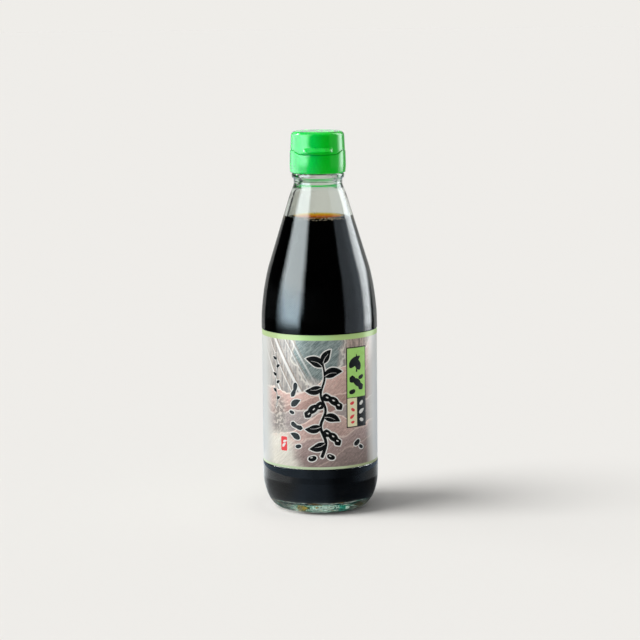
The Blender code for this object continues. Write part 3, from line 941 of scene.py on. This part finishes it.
def label_shapes():
    """Printed shapes: a winding sprig in black ink with a pale edge, a tall panel and small marks."""
    ink, vein = [], []

    def veined(s, z, length, width, turn, bend=0.0):
        ink.append(leaf(s, z, length, width, turn, bend))
        vein.append(place(spine(length * 0.7, bend * 0.8, lambda t: 0.10 * (1.0 - t) + 0.05, 12), s, z, turn))

    def full_pod(s, z, length, width, turn, bend):
        ink.append(pod(s, z, length, width, turn, bend))
        for k in range(3):
            x = length * (0.19 + 0.29 * k)
            y = bend * math.sin(math.pi * x / length) + 0.06 * width
            vein.append(place(bean(x, y, 0.36 * width, 10.0, 0.5), s, z, turn))

    # one winding stem with leaves and pods by turns
    stem = [(0.6, 33.4), (3.0, 42.0), (0.2, 51.0), (3.0, 60.0), (0.4, 69.0), (2.6, 78.0), (1.6, 87.0)]
    ink.append(stroke(stem, 1.9, 0.9))
    for draw, *sizes in (
            (veined, 1.8, 86.4, 8.8, 4.6, 60, 0.7), (veined, 1.5, 84.6, 10.4, 5.4, 154, -1.1),
            (veined, 2.5, 79.0, 10.6, 5.4, 14, 1.2), (veined, 0.9, 73.0, 9.4, 4.8, 192, 0.9),
            (full_pod, 1.2, 68.0, 13.6, 4.3, -36, 1.5), (full_pod, 2.2, 63.6, 13.0, 4.3, 216, -1.4),
            (veined, 2.2, 56.2, 9.4, 4.8, -16, 0.9), (veined, 0.4, 51.0, 9.2, 4.6, 190, 0.8),
            (full_pod, 1.4, 48.0, 12.6, 4.2, -40, 1.4), (veined, 2.8, 41.6, 9.6, 4.8, 200, 0.9)):
        draw(*sizes)
    for s, z, size, turn in ((-4.6, 33.0, 4.8, 14), (5.8, 33.8, 4.8, -24)):
        ink.append(bean(s, z, size, turn))
        vein.append(bean(s - 0.1 * size, z + 0.1 * size, 0.30 * size, turn, 0.4))
    # a column of smaller pods and beans
    small = [pod(-14.0, 75.5, 8.6, 2.5, 252, 0.8, 2), leaf(-16.6, 62.0, 6.6, 3.4, 34, 0.5), bean(-16.4, 58.6, 3.2, -20),
             pod(-16.8, 53.0, 7.6, 2.6, -24, -0.8, 2), leaf(-11.8, 43.6, 6.4, 3.4, 152, -0.5), bean(-12.6, 39.6, 3.6, 12)]
    # a thin garland
    thin = [stroke([(-27.6, 91.0), (-26.4, 83.0), (-28.0, 74.0), (-26.6, 65.0), (-27.6, 60.5)], 0.55, 0.35)]
    for i, z in enumerate((88.5, 84.0, 79.5, 75.0, 70.5, 66.0)):
        turn = 28 if i % 2 else 152
        thin.append(leaf(-27.1, z - 1.0, 3.2, 1.7, turn, 0.2))
    mark = [bean(22.0, 40.6, 4.6, 35), bean(25.0, 38.0, 3.4, -30)]
    groups = ((ink, 0.62), (small + mark, 0.5), (thin, 0.34))
    halo = [shift_outline(outline, width) for group, width in groups for outline in group]

    panel_ink = [
        leaf(17.4, 83.0, 9.6, 4.4, 40, 0.8), leaf(24.2, 81.4, 8.6, 4.2, 122, -0.6),
        stroke([(22.0, 80.4), (22.3, 84.0), (22.0, 90.5)], 1.1, 0.6), pod(17.2, 77.4, 11.6, 4.0, -38, 1.0),
        bean(25.2, 77.4, 3.8, 20), bean(19.0, 69.6, 4.2, 12),
    ]
    red_small = [bean(18.8, 63.2, 2.8, 20), bean(19.4, 59.4, 2.8, -30), leaf(17.4, 54.6, 3.6, 1.7, 34),
                 bean(19.2, 52.4, 2.4, 10)]
    white_small = [bean(25.4, 62.8, 3.2, 40), leaf(23.8, 57.0, 4.4, 2.2, 32), bean(25.6, 53.2, 3.2, -20),
                   leaf(-23.0, 38.4, 3.4, 1.5, 46, 0.2), leaf(-22.6, 41.2, 3.0, 1.3, 20, 0.2)]
    # rules and plain panels of the side and back
    rules = [box(-84.0, 88.0 - 3.1 * k, -58.0 - (k % 3) * 4.0, 88.45 - 3.1 * k) for k in range(11)]
    rules += [box(58.0, 64.0 - 3.1 * k, 86.0 - (k % 4) * 3.0, 64.45 - 3.1 * k) for k in range(9)]
    rules += [box(57.0, 68.8, 89.0, 69.2), box(57.0, 92.8, 89.0, 93.2), box(57.0, 69.2, 57.4, 92.8),
              box(88.6, 69.2, 89.0, 92.8)]
    rules += [box(57.4, 73.6 + 4.7 * k, 88.6, 73.85 + 4.7 * k) for k in range(4)]
    # names, outlines, how far they stand from the film, and inks
    return (
        ("print_edges_white", halo, 1, "white"),
        ("print_panel_edge", [box(15.2, 49.4, 29.2, 94.6)], 2, "black"),
        ("print_ink_black", ink + small + thin + mark, 3, "black"),
        ("print_panel_green", [box(15.8, 66.4, 28.6, 94.0)], 3, "green"),
        ("print_panel_cream", [box(15.8, 50.0, 22.2, 66.0)], 3, "cream"),
        ("print_panel_ink", panel_ink, 4, "black"),
        ("print_seal", [box(-24.0, 36.4, -19.8, 44.4, 0.7)], 2, "red"),
        ("print_red_marks", red_small, 4, "red"),
        ("print_white_marks", white_small + vein, 4, "white"),
        ("print_rules", rules, 1, "grey"),
        ("print_back_panel", [box(-96.0, 40.0, -58.0, 50.0, 1.2)], 1, "green"),
    )


# ---- studio
PALE = (0.863, 0.847, 0.815)
FLOOR = (0.822, 0.807, 0.776)
COOL = (0.76, 1.0, 1.28)
AMBIENT = 0.34


def make_world():
    world = bpy.data.worlds.new("studio")
    world.use_nodes = True
    bpy.context.scene.world = world
    world.cycles.sampling_method = "NONE"
    tree = world.node_tree
    (x, y, z), direction = coordinates(tree, "Generated")
    az = azimuth(x, y)
    el = z.op("MINIMUM", 0.9999).op("MAXIMUM", -0.9999).op("ARCSINE") * (180.0 / math.pi)

    def panel(color, strength, mask, base=(0.0, 0.0, 0.0)):
        return mix(1.0, base, mix(mask, (0.0, 0.0, 0.0), tuple(c * strength for c in color)), "ADD")

    turn = az.op("ABSOLUTE")
    low = fall(el, -10.5, -8.5)

    def lights(scale, lamp):
        """The studio as a glossy surface sees it: soft box left, dim card and bright strip right."""
        light = panel((0.8, 0.95, 1.0), 0.008, rise(el, -90.0, -89.0))
        part, lift, below_top = rise(el, -3.0, 11.0), rise(el, -4.0, 9.0), fall(el, 50.0, 60.0)
        ramp_low = (rise(az, -100.0, -87.0) * 0.3 + rise(az, -92.0, -64.0) * 0.7) * fall(az, -46.0, -35.0)
        ramp_high = rise(az, -96.0, -77.0) * fall(az, -43.0, -27.5)
        left = (ramp_low * (-part + 1.0) + ramp_high * part) * fall(el, 46.0, 54.0) * rise(el, -10.0, 0.5)
        cool = mix(rise(el, -2.0, 14.0), (0.78, 1.0, 1.12), (0.90, 1.0, 1.02))
        cool = mix(1.0, cool, (9.7 * scale,) * 3, "MULTIPLY")
        light = mix(1.0, light, mix(left, (0.0, 0.0, 0.0), cool), "ADD")
        card = (rise(az, 49.0, 57.0) * 0.72 + rise(az, 72.0, 95.0) * 0.35) * fall(az, 98.0, 104.0)
        light = panel((0.85, 0.98, 1.10), 1.0, card * below_top * rise(el, -10.5, -8.5), light)
        strip = fall(az, 124.0, 143.0) * lift + fall(az, 119.0, 132.0) * (-lift + 1.0)
        strip = rise(az, 97.0, 107.0) * strip * below_top * rise(el, -12.0, -5.0)
        light = panel((0.94, 1.0, 1.02), 7.3 * scale, strip, light)
        light = panel((0.95, 1.0, 1.02), 0.9, rise(el, 54.0, 66.0), light)
        return panel((1.0, 1.0, 1.0), lamp, band(az, -128.0, -104.0, 3.0) * band(el, 25.0, 42.0, 3.0), light)

    # backdrop behind, and the floor further out
    mirrored = panel((0.98, 1.0, 0.97), 0.45, rise(turn, 137.0, 143.0) * (-low + 1.0), lights(1.0, 26.0))
    sides = fall(az, -40.0, -10.0) * 0.22 + fall(az, 0.0, 40.0) * 0.2 + rise(az, 60.0, 120.0) * 0.35 + 0.06
    mirrored = panel(COOL, 1.0, sides * low, mirrored)
    through = panel((0.98, 1.0, 0.97), 0.78, rise(turn, 138.0, 152.0), lights(0.1, 0.0))

    color = (AMBIENT, AMBIENT, AMBIENT * 1.01)
    path = tree.nodes.new("ShaderNodeLightPath").outputs
    for kind, other in (("Glossy", mirrored), ("Transmission", through), ("Camera", PALE)):
        color = mix(Val(path[f"Is {kind} Ray"]), color, other)
    feed(tree.nodes["Background"], Color=color, Strength=1.0)


def add_light(name, kind, towards, color):
    """A light that shines on the bottle from a direction."""
    data = bpy.data.lights.new(name, kind)
    data.color = color
    obj = link(bpy.data.objects.new(name, data))
    obj.rotation_euler = towards.to_track_quat("Z", "Y").to_euler()
    return obj


def sun(name, az, el, angle, strength, color=(1.0, 1.0, 1.0)):
    a, e = math.radians(az), math.radians(el)
    towards = Vector((math.sin(a) * math.cos(e), -math.cos(a) * math.cos(e), math.sin(e)))
    obj = add_light(name, "SUN", towards, color)
    obj.data.energy = strength
    obj.data.angle = math.radians(angle)
    obj.visible_glossy = False
    obj.visible_transmission = False
    return obj


def card_light(name, low, high, strength):
    """A soft card that stands upright between two directions, seen from the cap."""
    far, bottom, top = 0.6, 0.03, 0.55
    middle, half = math.radians(0.5 * (low + high)), math.radians(0.5 * (high - low))
    out = Vector((math.sin(middle), -math.cos(middle), 0.0))
    obj = add_light(name, "AREA", out, (0.98, 0.78, 1.13))
    obj.data.shape = "RECTANGLE"
    obj.data.size = 2.0 * far * math.tan(half)
    obj.data.size_y = top - bottom
    obj.data.energy = strength * 4.0 * obj.data.size * obj.data.size_y
    obj.location = out * far + Vector((0.0, 0.0, 0.5 * (bottom + top)))
    obj.visible_camera = False
    obj.visible_diffuse = False
    return obj


def floor_material():
    mat, shader, (x, y, z), position = material("pale_floor")
    reach, turn = root_of_squares(x, y), azimuth(x, y)
    color = mix(noise(position, 3.0, 2.0), FLOOR, tuple(c * 0.998 for c in FLOOR))
    # light that the glass spills round its foot
    spill = fall(reach, 0.0240, 0.0285) * 0.42 + fall(reach, 0.028, 0.036) * 0.05
    spill = spill * band(x.op("ARCTAN2", -y), -2.2, -0.45, 0.35)
    feed(shader, Base_Color=color, Roughness=0.9, Specular_IOR_Level=0.0,
         Emission_Color=mix(spill, (0.0, 0.0, 0.0), FLOOR), Emission_Strength=1.0)
    # seen through the glass it carries the light that the glass gathers on it
    aside = turn.op("ABSOLUTE")
    streak = noise(vector(turn * 0.11, reach * 55.0, 1.0), 1.0, 3.0, 0.7)
    bright = rise(streak, 0.42, 0.66) * 0.9 + rise(aside, 60.0, 150.0) * 0.12
    near = mix(bright, (0.09, 0.10, 0.10), (0.88, 0.92, 0.88))
    away = mix(rise(x, -0.12, -0.01), (0.64, 0.64, 0.61), (0.82, 0.82, 0.79))
    away = mix(rise(aside, 128.0, 150.0), (0.16, 0.17, 0.17), away)
    glow = mix(rise(reach, 0.03, 0.16), near, away)
    # reflected in the glass it is a cool sheen, dimmer towards the front and the right
    level = fall(turn, -132.0, -104.0) * 0.5 + fall(turn, -34.0, 2.0) * 0.16 + fall(turn, 0.0, 26.0) * 0.21 + 0.07
    level = level + rise(turn, 110.0, 150.0) * 0.35
    far = rise(reach, 0.082, 0.098)
    level = level * (-(far * band(turn, -38.0, 44.0, 6.0)) * 0.3 + 1.0)
    level = level + far * rise(turn, 50.0, 90.0) * 0.25 + far * fall(turn, -60.0, -46.0) * 0.4
    under = fall(reach, 0.0265, 0.0315)
    level = level * (under * (bright * 2.0 - 0.6) + 1.0)
    hue = mix(rise(turn, -62.0, -20.0) * fall(turn, 60.0, 110.0), (0.95, 1.0, 1.02), COOL)
    hue = mix(under, hue, (0.90, 1.0, 0.93))
    mirror = mix(1.0, vector(level, level, level), hue, "MULTIPLY")
    surface = Val(shader.outputs[0])
    path = node_for("LightPath", mirror).outputs
    for kind, other in (("Glossy", mirror), ("Transmission", glow)):
        emission = feed(node_for("Emission", other), Color=other)
        surface = choose(Val(path[f"Is {kind} Ray"]), surface, Val(emission.outputs[0]))
    feed(mat.node_tree.nodes["Material Output"], Surface=surface)
    return mat


def make_floor():
    """The floor near the bottle, and the rest, which doesn't show in glossy surfaces."""
    mat = floor_material()
    near, far, count = 0.13, 14.0, 96

    def circle(r):
        turns = [math.tau * i / count for i in range(count)]
        return [bm.verts.new((r * math.cos(a), r * math.sin(a), 0.0)) for a in turns]

    bm = bmesh.new()
    bm.faces.new(circle(near))
    new_object("floor_near", bm, [mat], smooth_angle=0)
    bm = bmesh.new()
    bridge(bm, circle(far), circle(near))
    outside = new_object("floor_far", bm, [mat], smooth_angle=0)
    outside.visible_glossy = False


def make_camera():
    data = bpy.data.cameras.new("camera")
    data.sensor_width = 36.0
    data.sensor_fit = "HORIZONTAL"
    data.lens = 130.33
    data.clip_start = 0.05
    data.clip_end = 60.0
    camera = link(bpy.data.objects.new("camera", data))
    pitch, yaw, roll = math.radians(8.26), 0.7 / 2317.0, math.radians(0.54)
    forward = Vector((math.sin(yaw) * math.cos(pitch), math.cos(yaw) * math.cos(pitch), -math.sin(pitch)))
    right = forward.cross(Vector((0, 0, 1))).normalized()
    up = right.cross(forward)
    right_r = right * math.cos(roll) - up * math.sin(roll)
    up_r = up * math.cos(roll) + right * math.sin(roll)
    matrix = Matrix((right_r, up_r, -forward)).transposed().to_4x4()
    matrix.translation = Vector((0.0, -1.294, 0.2939))
    camera.matrix_world = matrix
    bpy.context.scene.camera = camera


# ---- build
scene = bpy.context.scene
scene.view_settings.view_transform = "Standard"
make_camera()
make_world()
sun("key", -75.0, 56.0, 32.0, 2.35)
sun("wide", -100.0, 30.0, 60.0, 0.56)
make_floor()

lit = bpy.data.collections.new("cap_light")
for name, low, high, strength in (("cap_side_a", -84.0, -47.0, 2.8), ("cap_side_b", -108.0, -84.0, 4.4),
                                 ("cap_side_c", -130.0, -108.0, 3.6), ("cap_side_d", -146.0, -130.0, 1.5),
                                 ("cap_side_e", 92.0, 128.0, 1.7), ("cap_back", 164.0, 196.0, 0.35)):
    card_light(name, low, high, strength).light_linking.receiver_collection = lit

sun("cap_soft", -80.0, 12.0, 12.0, 21.0, (0.0, 0.03, 1.0)).light_linking.receiver_collection = lit

glass = make_glass(glass_material())
dots = make_dots(painted_glint_dot_material())
edge_light = bpy.data.collections.new("dot_light")
edge_light.objects.link(dots)
for name, az, strength in (("dots_left", -84.0, 40.0), ("dots_right", 126.0, 110.0)):
    sun(name, az, 12.0, 8.0, strength, (0.9, 1.0, 1.05)).light_linking.receiver_collection = edge_light

sauce = make_sauce(sauce_clear_material(), sauce_deep_material())
bubbles = make_bubbles(bubble_material())

green = plastic_material("moulded_green", (0.0, 0.645, 0.020), (0.0, 0.605, 0.016))
# painted light: the inside of the cap base glows green, standing in for the green light that the cap throws into the
# glass neck
glow = plastic_material("green_underside_painted_glow", (0.0, 0.60, 0.020), (0.0, 0.56, 0.016))
feed(glow.node_tree.nodes["Principled BSDF"], Emission_Color=(0.02, 0.50, 0.09), Emission_Strength=1.0)
base = make_cap_base(green, glow)
lid = make_cap_lid(green)
for piece in (base, lid):
    lit.objects.link(piece)

# the film's back is painted nearly black: painted shade for the inside of the label, which little light reaches
film = make_film(label_material(), print_material("film_back_painted_dark", (0.006, 0.006, 0.006), roughness=0.5))

for piece, node, slot in (
        (glass, "glass_bottle", "clear_glass"), (dots, None, "clear_glass"), (sauce, "soy_sauce", "soy_sauce"),
        (bubbles, None, "soy_sauce"), (base, "cap_base", "green_plastic"), (lid, "cap_lid", "green_plastic"),
        (film, "label_sleeve", "printed_label")):
    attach(piece, "root")
    if node:
        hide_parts(node)

inks = {
    "black": print_material("black_ink", (0.0025, 0.0028, 0.0025), (0.0045, 0.0048, 0.0045)),
    "white": print_material("white_ink", (0.86, 0.86, 0.83)),
    "green": print_material("green_ink", seen(158, 206, 110)),
    "cream": print_material("cream_ink", seen(226, 214, 176)),
    "red": print_material("red_ink", seen(206, 62, 66)),
    "grey": print_material("grey_ink", (0.24, 0.25, 0.25)),
}
for name, outlines, layer, ink in label_shapes():
    piece = printed(name, outlines, layer, inks[ink])
    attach(piece, "root")
